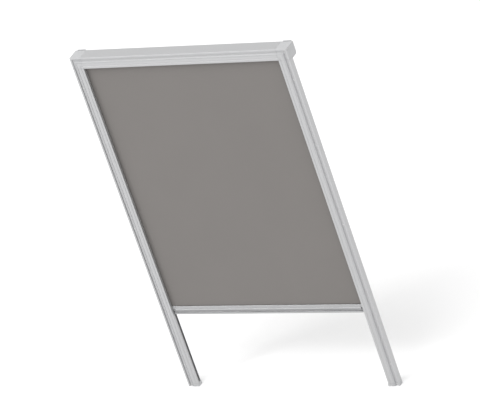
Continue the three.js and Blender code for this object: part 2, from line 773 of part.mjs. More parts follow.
function barFoot() {
  return [
    [barBack, barEdge], [barBack - barEdge, 0], [sealPlace + sealSlotWidth / 2, 0],
    [sealPlace + sealSlotWidth / 2, sealSlotNeck], [sealPlace + sealSlotFoot / 2, sealSlotNeck],
    [sealPlace + sealSlotFoot / 2, sealSlotNeck + sealSlotFootHeight],
    [sealPlace - sealSlotFoot / 2, sealSlotNeck + sealSlotFootHeight],
    [sealPlace - sealSlotFoot / 2, sealSlotNeck], [sealPlace - sealSlotWidth / 2, sealSlotNeck],
    [sealPlace - sealSlotWidth / 2, 0], [lowerLipFace + barEdge, 0], [lowerLipFace, barEdge],
  ];
}

function barSection() {
  const slotAngle = THREE.MathUtils.radToDeg(Math.asin(hemSlotWidth / 2 / hemPocketRadius));
  const outline = [...fingerGroove(), ...noseOutline()];
  outline.push([ledgeFace, barHeight - barEdge], [ledgeFace + barEdge, barHeight], [hemSlotFront, barHeight]);
  outline.push(...arc(sheetCentre, hemPocketHeight, hemPocketRadius,
    topAngle + slotAngle, topAngle + fullTurn - slotAngle, hemPocketSteps));
  outline.push([hemSlotBack, barHeight], [barBack - barEdge, barHeight], [barBack, barHeight - barEdge]);
  outline.push(...barFoot());
  return outline;
}

const hollowBack = barBack - barWall;
const hollowFloor = sealSlotNeck + sealSlotFootHeight + barWall;
const grooveWallBack = lowerLipFace + fingerGrooveDepth + barWall;
const hemWallBack = sheetCentre + hemPocketRadius + barWall;
const barHollow = [
  [grooveWallBack, hollowFloor], [hollowBack, hollowFloor], [hollowBack, barHeight - barWall],
  [hemWallBack, barHeight - barWall], [hemWallBack, hemPocketHeight - barWall],
  [sheetCentre, hemPocketHeight - hemPocketRadius - barWall], [sheetCentre, noseBottom + barWall],
  [grooveWallBack, noseBottom],
];
const barHalfLength = sideEdge - barEndLength;
const extrudedBar = barAlongX(barSection(), -barHalfLength, barHalfLength, [barHollow]);
piece('bottom_bar', extrudedBar, 'aluminium', bar);

const hemSpline = rodAlongX(sheetCentre, hemPocketHeight, hemSplineRadius,
  -barHalfLength, barHalfLength, roundSegments / 2);
piece('hem_spline', hemSpline, 'darkPlastic', bar);

const sealNeckHalf = sealSlotWidth / 2 - sealPlay;
const sealFootHalf = sealSlotFoot / 2 - sealPlay;
const sealFootBottom = sealSlotNeck + sealPlay;
const sealFootTop = sealSlotNeck + sealSlotFootHeight - sealPlay;
const barSeal = barAlongX([
  [sealPlace - sealFootHalf, sealFootBottom], [sealPlace - sealNeckHalf, sealFootBottom],
  [sealPlace - sealNeckHalf, -sealDrop], [sealPlace + sealNeckHalf, -sealDrop],
  [sealPlace + sealNeckHalf, sealFootBottom], [sealPlace + sealFootHalf, sealFootBottom],
  [sealPlace + sealFootHalf, sealFootTop], [sealPlace - sealFootHalf, sealFootTop],
], -barHalfLength, barHalfLength);
piece('bar_seal', barSeal, 'pile', bar);

// Bar ends: moulded pieces that close the bar, plug into its hollow and slide in the channels

function barEndGeometry() {
  const recess = lowerLipFace + barEndRecess;
  const outline = [[lowerLipFace, lowerLipHeight], [recess, lowerLipHeight]];
  outline.push([recess, noseTop], [ledgeFace, noseTop]);
  outline.push([ledgeFace, barHeight - barEdge], [ledgeFace + barEdge, barHeight]);
  outline.push([barBack - barEdge, barHeight], [barBack, barHeight - barEdge], [barBack, barEdge]);
  outline.push([barBack - barEdge, 0], [lowerLipFace + barEdge, 0], [lowerLipFace, barEdge]);
  const endBlock = barAlongX(outline, -barEndLength + seatGap, -barEndPlay);
  const plugPiece = block([-barEndLength - barPlugLength, -barEndLength + cutOverrun],
    [grooveWallBack + slidePlay, hollowBack - slidePlay], [hollowFloor + slidePlay, barPlugTop]);
  const tongueFront = fabricDepth + slideTongueFront;
  const tongueBack = channelWebFront - slidePlay;
  const tongue = block([-barEndPlay - cutOverrun, slideBlockInset + cutOverrun],
    [tongueFront, tongueBack], [slideBlockBottom, slideBlockTop]);
  const slide = block([slideBlockInset, channelShelfEnd - wall - slidePlay],
    [slideBlockFront, tongueBack], [slideBlockBottom, slideBlockTop]);
  const levelWay = block([-barEndLength, cordSlot.x[1]], [cordSlot.y[0], tongueBack + cutOverrun],
    [rearCordHeight - cordBendRadius, frontCordHeight + cordBendRadius]);
  const uprightWay = block(cordSlot.x, [cordSlot.y[0], tongueBack + cutOverrun],
    [slideBlockBottom - cutOverrun, slideBlockTop + cutOverrun]);
  return built([endBlock, plugPiece, tongue, slide], [levelWay, uprightWay]);
}

pair('bar_end', atSide(barEndGeometry()), 'greyPlastic', bar);

// Fabric: one flat sheet from the roller down into the bar's hem slot, wider than the
// daylight by the two edges that run in the channels

const fabricTop = headBase + rollerHeight - seatGap;
const edgeBottom = barTopHeight + seatGap;
const hemBottom = barLift + hemPocketHeight + hemPocketRadius;
const hemHalfWidth = barHalfLength - seatGap;
const sheet = barAlongY([
  [fabricTop, -rollHalfWidth], [fabricTop, rollHalfWidth], [edgeBottom, rollHalfWidth],
  [edgeBottom, hemHalfWidth], [hemBottom, hemHalfWidth], [hemBottom, -hemHalfWidth],
  [edgeBottom, -hemHalfWidth], [edgeBottom, -rollHalfWidth],
], fabricDepth, fabricDepth + fabricThickness);
piece('blackout_fabric', sheet, 'blackout', blind);

// Guide cords: each runs down one channel, crosses inside the bar and goes on down the other
// channel, so the bar stays level and stops where it is left

const sideCord = sideEdge + cordInset;
const anchorTop = headBase + headFace - anchorDrop;
const footAnchor = footShelf;
const barEntry = barLift + slideBlockTop + seatGap;
const barExit = barLift + slideBlockBottom - seatGap;

function uprightCord(x, depth, low, high) {
  return barAlongZ(circle(x, depth, cordRadius, cordSides), low, high);
}

piece('upper_cord_left', uprightCord(-sideCord, frontCordDepth, barEntry, anchorTop), 'cord', blind);
piece('upper_cord_right', uprightCord(sideCord, rearCordDepth, barEntry, anchorTop), 'cord', blind);
piece('lower_cord_right', uprightCord(sideCord, frontCordDepth, footAnchor, barExit), 'cord', blind);
piece('lower_cord_left', uprightCord(-sideCord, rearCordDepth, footAnchor, barExit), 'cord', blind);

// Straight and curved runs joined end to end, each with its own number of steps
class CordRoute extends THREE.Curve {
  constructor(runs) {
    super();
    this.runs = runs;
    this.stepCount = runs.reduce((sum, run) => sum + run.steps, 0);
  }

  getPoint(share) {
    let place = share * this.stepCount;
    const last = this.runs[this.runs.length - 1];
    for (const run of this.runs) {
      if (place <= run.steps || run === last) return run.curve.getPoint(place / run.steps);
      place -= run.steps;
    }
    return null;
  }

  getPointAt(share) {
    return this.getPoint(share);
  }

  getTangentAt(share) {
    return this.getTangent(share);
  }
}

// The stretch across the bar, with a bend up at one end and down at the other
function crossCord(depth, height, side) {
  const at = (x, z) => new THREE.Vector3(side * x, depth, z);
  const straight = (from, to) => ({ curve: new THREE.LineCurve3(from, to), steps: 1 });
  const bend = (from, corner, to) => (
    { curve: new THREE.QuadraticBezierCurve3(from, corner, to), steps: cordBendSteps });
  const afterRise = at(-sideCord, height + cordBendRadius);
  const levelStart = at(-sideCord + cordBendRadius, height);
  const levelEnd = at(sideCord - cordBendRadius, height);
  const beforeDrop = at(sideCord, height - cordBendRadius);
  const route = new CordRoute([
    straight(at(-sideCord, slideBlockTop), afterRise),
    bend(afterRise, at(-sideCord, height), levelStart),
    straight(levelStart, levelEnd),
    bend(levelEnd, at(sideCord, height), beforeDrop),
    straight(beforeDrop, at(sideCord, slideBlockBottom)),
  ]);
  return new THREE.ExtrudeGeometry(roundShape(cordRadius, cordSides),
    { steps: route.stepCount, extrudePath: route });
}

piece('cross_cord_front', crossCord(frontCordDepth, frontCordHeight, 1), 'cord', bar);
piece('cross_cord_rear', crossCord(rearCordDepth, rearCordHeight, -1), 'cord', bar);

// Ferrules crimped on the cords' ends, over the anchors in the caps and under the feet's shelf
function ferrule(x, depth, low) {
  return barAlongZ(circle(x, depth, ferruleRadius, cordSides), low, low + ferruleLength);
}

const topFerrule = anchorTop + seatGap;
const footFerrule = footAnchor - seatGap - ferruleLength;
piece('top_ferrule_left', ferrule(-sideCord, frontCordDepth, topFerrule), 'steel', blind);
piece('top_ferrule_right', ferrule(sideCord, rearCordDepth, topFerrule), 'steel', blind);
piece('foot_ferrule_right', ferrule(sideCord, frontCordDepth, footFerrule), 'steel', blind);
piece('foot_ferrule_left', ferrule(-sideCord, rearCordDepth, footFerrule), 'steel', blind);

export default blind;
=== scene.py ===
import math

import bmesh
import bpy
from mathutils import Matrix, Vector


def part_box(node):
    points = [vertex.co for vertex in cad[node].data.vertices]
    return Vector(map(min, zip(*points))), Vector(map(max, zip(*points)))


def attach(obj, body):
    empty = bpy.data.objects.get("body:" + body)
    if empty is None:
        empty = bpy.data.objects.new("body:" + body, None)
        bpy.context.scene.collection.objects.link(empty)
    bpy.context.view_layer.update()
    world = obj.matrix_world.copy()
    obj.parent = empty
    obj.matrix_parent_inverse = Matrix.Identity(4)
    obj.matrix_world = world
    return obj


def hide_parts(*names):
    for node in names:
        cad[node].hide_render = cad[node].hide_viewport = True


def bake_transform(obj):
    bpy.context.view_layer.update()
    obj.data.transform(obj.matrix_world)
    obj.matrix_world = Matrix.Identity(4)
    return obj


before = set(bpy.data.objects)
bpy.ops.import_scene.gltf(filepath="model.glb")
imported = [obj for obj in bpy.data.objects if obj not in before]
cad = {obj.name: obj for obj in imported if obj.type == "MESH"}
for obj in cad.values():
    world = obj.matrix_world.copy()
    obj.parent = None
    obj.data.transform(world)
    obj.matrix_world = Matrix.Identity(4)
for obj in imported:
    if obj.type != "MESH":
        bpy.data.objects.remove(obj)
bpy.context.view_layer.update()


# Side channels: satin anodised aluminium extrusions. The crowned face hides the chamber where
# the fabric's edge runs, and a closed box stiffens the outer side. Both ends are sawn square,
# and three countersunk screw holes go through the groove.

mm = 0.001
channel_face = 32.0
channel_depth = 18.5
channel_wall = 1.4
channel_lip_reach = 6.5
channel_rear_inset = 1.0
face_back = 2.6
bead_end_share = 0.2
crown_end_share = 0.515
shelf_end_share = 0.592
groove_start_share = 0.662
groove_end_share = 0.844
fine_line_share = 0.02
fine_line_depth = 1.5
groove_depth = 4.5
extrusion_edge = 0.2
sunk_head_radius, sunk_head_height, sunk_shank_radius = 2.3, 1.2, 1.25
screw_play = 0.12
drill_overrun = 1.0
round_sides = 32
smooth_under = math.radians(30)
anodised_dark, anodised_light = (0.455, 0.457, 0.463), (0.50, 0.502, 0.508)
noise_low, noise_high = 0.3, 0.7
channel_low, channel_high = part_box("side_channel_right")
front, side_edge = channel_low.y, channel_low.x


def crest(start, end, depth, rise, steps):
    """A low rounded crest, as distance across the moulding and depth behind its front."""
    shares = [i / steps for i in range(steps + 1)]
    return [(start + t * (end - start), depth + rise * (2 * t - 1) ** 2) for t in shares]


def moulding(width):
    """The face from its inner edge outwards: a bead, a crown between two fine lines, a shelf,
    a groove with one sloping side, and the outer ridge."""
    bead_depth, bead_rise, bead_steps = 0.3, 0.8, 14
    crown_rise, crown_steps = 1.0, 20
    shelf_depth = 0.6
    ridge_depth, ridge_round, ridge_steps = 1.5, 1.0, 12
    line = fine_line_share * width
    bead_end, crown_end = bead_end_share * width, crown_end_share * width
    groove_end = groove_end_share * width
    points = crest(0, bead_end, bead_depth, bead_rise, bead_steps)
    points.append((bead_end + line / 2, fine_line_depth))
    points += crest(bead_end + line, crown_end, 0, crown_rise, crown_steps)
    points += [(crown_end + line / 2, fine_line_depth), (crown_end + line, shelf_depth)]
    points += [(shelf_end_share * width, shelf_depth), (groove_start_share * width, groove_depth)]
    points += [(groove_end, groove_depth)]
    ridge_middle, ridge_half = (groove_end + width) / 2, (width - groove_end) / 2
    for i in range(ridge_steps + 1):
        angle = math.pi * (1 + i / ridge_steps)
        depth = ridge_depth + ridge_round * (1 + math.sin(angle)) ** 2
        points.append((ridge_middle + ridge_half * math.cos(angle), depth))
    return points


def rounded(outline, radius):
    """The outline with each corner that turns more than a little drawn as a small round."""
    steps, over, longest_share = 3, math.radians(28), 0.45
    corners = [Vector(point) for point in outline]
    result = []
    for i, here in enumerate(corners):
        back = corners[i - 1] - here
        ahead = corners[(i + 1) % len(corners)] - here
        if math.pi - back.angle(ahead) < over:
            result.append(here)
            continue
        reach = min(radius, longest_share * back.length, longest_share * ahead.length)
        start = here + back.normalized() * reach
        end = here + ahead.normalized() * reach
        for step in range(steps + 1):
            t = step / steps
            result.append(start.lerp(here, t).lerp(here.lerp(end, t), t))
    return result


def mesh_object(name, mesh_data):
    """A new object from a bmesh, with its faces out and only its true edges sharp."""
    bmesh.ops.recalc_face_normals(mesh_data, faces=mesh_data.faces)
    mesh = bpy.data.meshes.new(name)
    mesh_data.to_mesh(mesh)
    mesh_data.free()
    mesh.shade_smooth()
    mesh.set_sharp_from_angle(angle=smooth_under)
    made = bpy.data.objects.new(name, mesh)
    bpy.context.scene.collection.objects.link(made)
    return made


def fill_between(drawn, rings):
    """Closes a flat face inside the first ring of corners and round the others."""
    rims = [drawn.edges.get((ring[i - 1], ring[i])) for ring in rings for i in range(len(ring))]
    bmesh.ops.triangle_fill(drawn, edges=rims, use_beauty=True)


def extrusion(name, loops, start, end, place):
    """A straight bar: the first loop is its outline, the others are the hollows through it."""
    drawn = bmesh.new()
    ends = []
    for run in (start, end):
        ends.append([[drawn.verts.new(place(point, run)) for point in loop] for loop in loops])
    for near, far in zip(*ends):
        for i in range(len(near)):
            drawn.faces.new((near[i - 1], near[i], far[i], far[i - 1]))
    for rings in ends:
        fill_between(drawn, rings)
    return mesh_object(name, drawn)


def add_node(tree, kind, values=None, **settings):
    """One shader node: values fill its sockets or link them, settings are its properties."""
    made = tree.nodes.new(kind)
    for key, value in settings.items():
        setattr(made, key, value)
    for key, value in (values or {}).items():
        if isinstance(value, bpy.types.NodeSocket):
            tree.links.new(value, made.inputs[key])
        else:
            made.inputs[key].default_value = value
    return made


def new_finish(name):
    """A new material with its node tree, its shader and its surface coordinates in metres."""
    material = bpy.data.materials.new(name)
    material.use_nodes = True
    tree = material.node_tree
    coordinates = add_node(tree, "ShaderNodeTexCoord").outputs["Object"]
    return material, tree, tree.nodes["Principled BSDF"], coordinates


def toned(tree, factor, dark, light):
    """A colour that runs from dark to light with a texture."""
    ramp = add_node(tree, "ShaderNodeValToRGB", {"Fac": factor})
    dark_stop, light_stop = ramp.color_ramp.elements
    dark_stop.position, light_stop.position = noise_low, noise_high
    dark_stop.color, light_stop.color = (*dark, 1), (*light, 1)
    return ramp.outputs["Color"]


def dressed(obj, material):
    """Gives the object this one material."""
    obj.data.materials.clear()
    obj.data.materials.append(material)
    return obj


def anodised(name, along, dark, light, painted_shade_tone=0.8, painted_shade_reach=6 * mm, roughness=0.44):
    """Satin anodised extrusion: faint die lines along its length over a fine matt grain, and
    painted shade in its recesses, where the colour darkens towards painted_shade_tone."""
    material, tree, shader, coordinates = new_finish(name)
    line_scale, drawn_scale, roughness_swing = 1100.0, 0.7, 0.04
    stretch = [line_scale] * 3
    stretch["XYZ".index(along)] = drawn_scale
    lines_place = add_node(tree, "ShaderNodeMapping", {"Vector": coordinates, "Scale": stretch})
    lines = add_node(tree, "ShaderNodeTexNoise", {
        "Vector": lines_place.outputs["Vector"], "Scale": 1.0, "Detail": 2.0, "Roughness": 0.5})
    grain = add_node(tree, "ShaderNodeTexNoise", {
        "Vector": coordinates, "Scale": 5200.0, "Detail": 2.0})
    cloud = add_node(tree, "ShaderNodeTexNoise", {
        "Vector": coordinates, "Scale": 4.0, "Detail": 2.0})
    worn = add_node(tree, "ShaderNodeMix", {
        "Factor": 0.2, "A": lines.outputs["Fac"], "B": cloud.outputs["Fac"]})
    rough = add_node(tree, "ShaderNodeMapRange", {
        "Value": worn.outputs["Result"], "From Min": noise_low, "From Max": noise_high,
        "To Min": roughness - roughness_swing, "To Max": roughness + roughness_swing})
    height = add_node(tree, "ShaderNodeMix", {
        "Factor": 0.3, "A": lines.outputs["Fac"], "B": grain.outputs["Fac"]})
    relief = add_node(tree, "ShaderNodeBump", {
        "Height": height.outputs["Result"], "Strength": 0.12, "Distance": 0.02 * mm})
    # Painted shade: the base colour darkens in recesses, down to painted_shade_tone where deepest.
    occlusion = add_node(tree, "ShaderNodeAmbientOcclusion", {"Distance": painted_shade_reach}, samples=16)
    painted_shade_factor = add_node(tree, "ShaderNodeMapRange", {
        "Value": occlusion.outputs["AO"], "From Min": 0.4, "From Max": 0.95,
        "To Min": painted_shade_tone, "To Max": 1.0})
    tone = toned(tree, worn.outputs["Result"], dark, light)
    colour = add_node(tree, "ShaderNodeHueSaturation", {
        "Color": tone, "Value": painted_shade_factor.outputs["Result"]})
    tree.links.new(colour.outputs["Color"], shader.inputs["Base Color"])
    tree.links.new(rough.outputs["Result"], shader.inputs["Roughness"])
    tree.links.new(relief.outputs["Normal"], shader.inputs["Normal"])
    shader.inputs["Metallic"].default_value = 0.75
    return material


channel_metal = anodised("channel_aluminium", "Z", anodised_dark, anodised_light)


def channel_loops():
    """The channel's outline and its closed hollow, as distance from the inner edge and depth."""
    shelf_end = shelf_end_share * channel_face
    web_front = channel_depth - channel_wall
    outer = moulding(channel_face) + [
        (channel_face, channel_depth), (channel_rear_inset, channel_depth),
        (channel_rear_inset, web_front), (shelf_end - channel_wall, web_front),
        (shelf_end - channel_wall, face_back), (channel_wall, face_back),
        (channel_wall, channel_lip_reach), (0, channel_lip_reach)]
    hollow_front, hollow_side = groove_depth + channel_wall, channel_face - channel_wall
    hollow = [(shelf_end, hollow_front), (hollow_side, hollow_front), (hollow_side, web_front),
              (shelf_end, web_front)]
    return [rounded(outer, extrusion_edge), rounded(hollow, extrusion_edge)]


def turned_sides(drawn, profile, place):
    """Rings round an axis, one for each radius and depth of the profile, with their sides."""
    angles = [2 * math.pi * i / round_sides for i in range(round_sides)]
    circle = [Vector((math.cos(angle), math.sin(angle))) for angle in angles]
    rings = [[drawn.verts.new(place(point * radius, depth)) for point in circle]
             for radius, depth in profile]
    for upper, lower in zip(rings, rings[1:]):
        for i in range(round_sides):
            drawn.faces.new((upper[i - 1], upper[i], lower[i], lower[i - 1]))
    return rings


def drill_channel(channel, hand):
    """Countersinks the groove and drills on through the back for each of the three screws."""
    drill = bmesh.new()
    head_hole, shank_hole = sunk_head_radius + screw_play, sunk_shank_radius + screw_play
    back = channel_depth - groove_depth + drill_overrun
    profile = [(head_hole, -drill_overrun), (head_hole, 0), (shank_hole, sunk_head_height),
               (shank_hole, back)]
    for number in (1, 2, 3):
        low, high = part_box(f"channel_screw_{number}_{hand}")
        centre = (low + high) / 2
        rings = turned_sides(drill, profile, lambda point, depth: Vector((
            centre.x + point[0] * mm, low.y + depth * mm, centre.z + point[1] * mm)))
        drill.faces.new(rings[0])
        drill.faces.new(rings[-1])
    cutter = mesh_object("channel_drill", drill)
    holes = channel.modifiers.new("holes", "BOOLEAN")
    holes.object = cutter
    holes.operation = "DIFFERENCE"
    holes.solver = "EXACT"
    drilled = channel.evaluated_get(bpy.context.evaluated_depsgraph_get())
    channel.data = bpy.data.meshes.new_from_object(drilled)
    channel.modifiers.clear()
    channel.data.shade_smooth()
    channel.data.set_sharp_from_angle(angle=smooth_under)
    bpy.data.objects.remove(cutter)


for hand, side in (("left", -1), ("right", 1)):
    channel = extrusion(
        f"channel_{hand}", channel_loops(), channel_low.z, channel_high.z,
        lambda point, run: Vector((
            side * (side_edge + point[0] * mm), front + point[1] * mm, run)))
    drill_channel(channel, hand)
    dressed(channel, channel_metal)
    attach(channel, "housing")
    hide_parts(f"side_channel_{hand}")


# Head casing: the same satin aluminium, extruded across the blind and open below for the
# fabric. Two round ports along its upper corners take the screws of its end caps.

head_face = channel_face
head_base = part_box("head_light_seal")[0].z
casing_low, casing_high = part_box("head_casing")
casing_depth = (casing_high.y - front) / mm
casing_bottom = (casing_low.z - head_base) / mm
casing_wall = channel_wall
casing_lower_corner, lower_corner_steps = 6.0, 12
casing_upper_corner, upper_corner_steps = 3.0, 8
casing_top_front = 3.5
fabric_slot = (8.0, 17.5)
slot_hook = 3.5
port_radius, port_sides = 1.3, 24
port_inset = 1.9
port_block = 6.5


def arc(centre, radius, start, end, steps):
    """Points on a part of a circle, from start to end in degrees."""
    points = []
    for i in range(steps + 1):
        angle = math.radians(start + (end - start) * i / steps)
        points.append((centre[0] + radius * math.cos(angle), centre[1] + radius * math.sin(angle)))
    return points


def casing_loops():
    """The casing's outline, which turns in through the fabric's slot and goes round inside, and
    its two ports, as depth and height."""
    low = (casing_depth - casing_lower_corner, casing_bottom + casing_lower_corner)
    high = (casing_depth - casing_upper_corner, head_face - casing_upper_corner)
    top, back = head_face - casing_wall, casing_depth - casing_wall
    step = groove_depth + casing_wall
    shelf_inside = shelf_end_share * head_face - casing_wall
    hook_back, hook_front = fabric_slot[0], fabric_slot[0] - casing_wall
    outer = [(fabric_slot[1], casing_bottom)]
    outer += arc(low, casing_lower_corner, -90, 0, lower_corner_steps)
    outer += arc(high, casing_upper_corner, 0, 90, upper_corner_steps)
    outer += [(casing_top_front, head_face)]
    outer += [(depth, across) for across, depth in reversed(moulding(head_face))]
    outer += [(hook_back, 0), (hook_back, slot_hook), (hook_front, slot_hook)]
    outer += [(hook_front, casing_wall), (face_back, casing_wall), (face_back, shelf_inside)]
    outer += [(step, shelf_inside), (step, top - port_block), (step + port_block, top)]
    outer += [(back - port_block, top), (back, top - port_block)]
    outer += arc(low, casing_lower_corner - casing_wall, 0, -90, lower_corner_steps)
    outer += [(fabric_slot[1], casing_bottom + casing_wall)]
    height = top - port_inset
    last_angle = 360 - 360 / port_sides
    ports = [arc((depth, height), port_radius, 0, last_angle, port_sides - 1)
             for depth in (step + port_inset, back - port_inset)]
    return [rounded(outer, extrusion_edge), *ports]


def head_place(point, run):
    """Where a corner of the head's section lies, at a place along the blind's width."""
    return Vector((run, front + point[0] * mm, head_base + point[1] * mm))


head_metal = anodised("head_aluminium", "X", anodised_dark, anodised_light)
casing = extrusion(
    "head_casing_shell", casing_loops(), -casing_high.x, casing_high.x, head_place)
dressed(casing, head_metal)
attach(casing, "housing")
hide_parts("head_casing")


# End caps, channel feet and bar ends: injection moulded in light grey plastic with a fine
# spark-eroded grain and softly broken edges. The caps carry the moulding round a mitre.

moulded_edge = 0.15
weld_reach = 0.002 * mm
curve_under = math.radians(36)
edge_over = math.radians(40)


def moulded_plastic(name, dark, light, roughness=0.46, grain_depth=0.03 * mm):
    """Fine-grained moulded plastic with a faint mottle."""
    material, tree, shader, coordinates = new_finish(name)
    roughness_swing = 0.05
    grain = add_node(tree, "ShaderNodeTexNoise", {
        "Vector": coordinates, "Scale": 2600.0, "Detail": 3.0, "Roughness": 0.7})
    mottle = add_node(tree, "ShaderNodeTexNoise", {
        "Vector": coordinates, "Scale": 60.0, "Detail": 4.0})
    colour = toned(tree, mottle.outputs["Fac"], dark, light)
    rough = add_node(tree, "ShaderNodeMapRange", {
        "Value": mottle.outputs["Fac"], "From Min": noise_low, "From Max": noise_high,
        "To Min": roughness - roughness_swing, "To Max": roughness + roughness_swing})
    relief = add_node(tree, "ShaderNodeBump", {
        "Height": grain.outputs["Fac"], "Strength": 0.25, "Distance": grain_depth})
    tree.links.new(colour, shader.inputs["Base Color"])
    tree.links.new(rough.outputs["Result"], shader.inputs["Roughness"])
    tree.links.new(relief.outputs["Normal"], shader.inputs["Normal"])
    return material


def edge_smoothing():
    """A modifier tree that shades faces smooth and keeps true edges sharp."""
    tree = bpy.data.node_groups.new("smooth_by_angle", "GeometryNodeTree")
    tree.interface.new_socket("Geometry", in_out="INPUT", socket_type="NodeSocketGeometry")
    tree.interface.new_socket("Geometry", in_out="OUTPUT", socket_type="NodeSocketGeometry")
    entry = add_node(tree, "NodeGroupInput")
    angle = add_node(tree, "GeometryNodeInputMeshEdgeAngle")
    shallow = add_node(tree, "FunctionNodeCompare", {
        "A": angle.outputs["Unsigned Angle"], "B": curve_under}, operation="LESS_THAN")
    faces = add_node(tree, "GeometryNodeSetShadeSmooth", {
        "Geometry": entry.outputs[0]}, domain="FACE")
    edges = add_node(tree, "GeometryNodeSetShadeSmooth", {
        "Geometry": faces.outputs[0], "Shade Smooth": shallow.outputs["Result"]}, domain="EDGE")
    add_node(tree, "NodeGroupOutput", {0: edges.outputs[0]})
    return tree


smoothing = edge_smoothing()


def softened(obj, edge=0):
    """Breaks the piece's edges with a small round, where an edge is given, and shades its
    curves smooth and its flats flat."""
    weld = obj.modifiers.new("weld", "WELD")
    weld.merge_threshold = weld_reach
    if edge:
        bevel = obj.modifiers.new("edges", "BEVEL")
        bevel.width = edge * mm
        bevel.segments = 2
        bevel.limit_method = "ANGLE"
        bevel.angle_limit = edge_over
        bevel.use_clamp_overlap = True
        joined = obj.modifiers.new("joined", "WELD")
        joined.merge_threshold = weld_reach
    smooth = obj.modifiers.new("smooth", "NODES")
    smooth.node_group = smoothing
    flats = obj.modifiers.new("flats", "WEIGHTED_NORMAL")
    flats.keep_sharp = True
    return obj


cap_plastic = moulded_plastic("cap_plastic", (0.40, 0.403, 0.41), (0.44, 0.443, 0.45))
for hand in ("left", "right"):
    for name in ("end_cap", "channel_foot", "bar_end"):
        dressed(softened(cad[f"{name}_{hand}"], moulded_edge), cap_plastic)


# Screws: zinc-plated steel, turned and headed, with a punched cross recess. Those of the
# channels and feet are countersunk in the groove, and those of the end caps sit in pockets.

def plated_steel(name, dark, light, roughness):
    """Zinc-plated steel with a mottled, slightly cloudy sheen."""
    material, tree, shader, coordinates = new_finish(name)
    brightest, dullest = roughness - 0.06, roughness + 0.08
    cloud = add_node(tree, "ShaderNodeTexNoise", {
        "Vector": coordinates, "Scale": 420.0, "Detail": 5.0, "Roughness": 0.65})
    colour = toned(tree, cloud.outputs["Fac"], dark, light)
    rough = add_node(tree, "ShaderNodeMapRange", {
        "Value": cloud.outputs["Fac"], "From Min": noise_low, "From Max": noise_high,
        "To Min": brightest, "To Max": dullest})
    relief = add_node(tree, "ShaderNodeBump", {
        "Height": cloud.outputs["Fac"], "Strength": 0.15, "Distance": 0.02 * mm})
    tree.links.new(colour, shader.inputs["Base Color"])
    tree.links.new(rough.outputs["Result"], shader.inputs["Roughness"])
    tree.links.new(relief.outputs["Normal"], shader.inputs["Normal"])
    shader.inputs["Metallic"].default_value = 1.0
    return material


screw_steel = plated_steel("screw_steel", (0.56, 0.56, 0.555), (0.68, 0.68, 0.67), 0.38)
recess_reach, recess_half_arm, recess_depth, recess_floor = 0.55, 0.12, 0.25, 0.7


def cross_outline(reach, half_arm):
    """Twelve corners of a cross, anticlockwise."""
    quarter = [Vector((reach, half_arm)), Vector((half_arm, half_arm)), Vector((half_arm, reach))]
    corners = []
    for turns in range(4):
        turned = Matrix.Rotation(turns * math.pi / 2, 2)
        corners += [turned @ corner for corner in quarter]
    return corners


def turned_screw(node, profile, inwards, sideways):
    """A screw from its profile of radius and depth below the top of the head, which lies at
    the node's outer end. The recess is sized by shares of the head's radius and narrows
    towards its floor."""
    low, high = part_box(node)
    middle = (low + high) / 2
    outer_end = [middle[i] - inwards[i] * (high[i] - low[i]) / 2 for i in range(3)]
    upright = inwards.cross(sideways)

    def place(point, depth):
        flat = sideways * point[0] + upright * point[1]
        return Vector(outer_end) + (flat + inwards * depth) * mm

    drawn = bmesh.new()
    rings = turned_sides(drawn, profile[:-1], place)
    tip = drawn.verts.new(place((0, 0), profile[-1][1]))
    for i in range(round_sides):
        drawn.faces.new((rings[-1][i - 1], rings[-1][i], tip))

    head_radius, head_top = profile[0]
    floor_depth = head_top + recess_depth * head_radius
    mouth_shape = cross_outline(recess_reach * head_radius, recess_half_arm * head_radius)
    mouth = [drawn.verts.new(place(point, head_top)) for point in mouth_shape]
    floor_corners = [drawn.verts.new(place(point * recess_floor, floor_depth))
                     for point in mouth_shape]
    for i in range(len(mouth)):
        drawn.faces.new((mouth[i - 1], mouth[i], floor_corners[i], floor_corners[i - 1]))
    fill_between(drawn, [rings[0], mouth])
    fill_between(drawn, [floor_corners])
    screw = dressed(mesh_object(f"{node}_turned", drawn), screw_steel)
    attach(screw, "housing")
    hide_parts(node)


def screw_length(node, axis):
    """The screw's length in millimetres, along X (0) or Y (1)."""
    low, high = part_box(node)
    return (high[axis] - low[axis]) / mm


point_length = 2.0
cap_head_radius, cap_head_height, cap_shank_radius, cap_head_round = 2.7, 1.8, 1.2, 0.35
rearwards = Vector((0, 1, 0))
crosswise = Vector((1, 0, 0))
for hand, side in (("left", -1), ("right", 1)):
    for name in ("channel_screw_1", "channel_screw_2", "channel_screw_3", "foot_screw"):
        node = f"{name}_{hand}"
        length = screw_length(node, 1)
        profile = [
            (sunk_head_radius, 0), (sunk_shank_radius, sunk_head_height),
            (sunk_shank_radius, length - point_length), (0, length)]
        turned_screw(node, profile, rearwards, crosswise)
    for name in ("cap_screw_front", "cap_screw_rear"):
        node = f"{name}_{hand}"
        length = screw_length(node, 0)
        profile = [
            (cap_head_radius - cap_head_round, 0), (cap_head_radius, cap_head_round),
            (cap_head_radius, cap_head_height), (cap_shank_radius, cap_head_height),
            (cap_shank_radius, length - point_length), (0, length)]
        turned_screw(node, profile, -side * crosswise, rearwards)


# Brackets: pressed steel plates, zinc plated, with two screw holes each. Two tongues on the
# front of each plate carry the end cap that is pushed onto it.

bracket_steel = plated_steel("bracket_steel", (0.55, 0.555, 0.56), (0.62, 0.625, 0.63), 0.36)
pressed_edge = 0.2
for hand in ("left", "right"):
    dressed(softened(cad[f"mounting_bracket_{hand}"], pressed_edge), bracket_steel)


# Roller: an aluminium tube with a keyway, on two white acetal plugs. A steel rod, a collar
# and a coiled spring fill its left end, and a steel pin carries the right one.

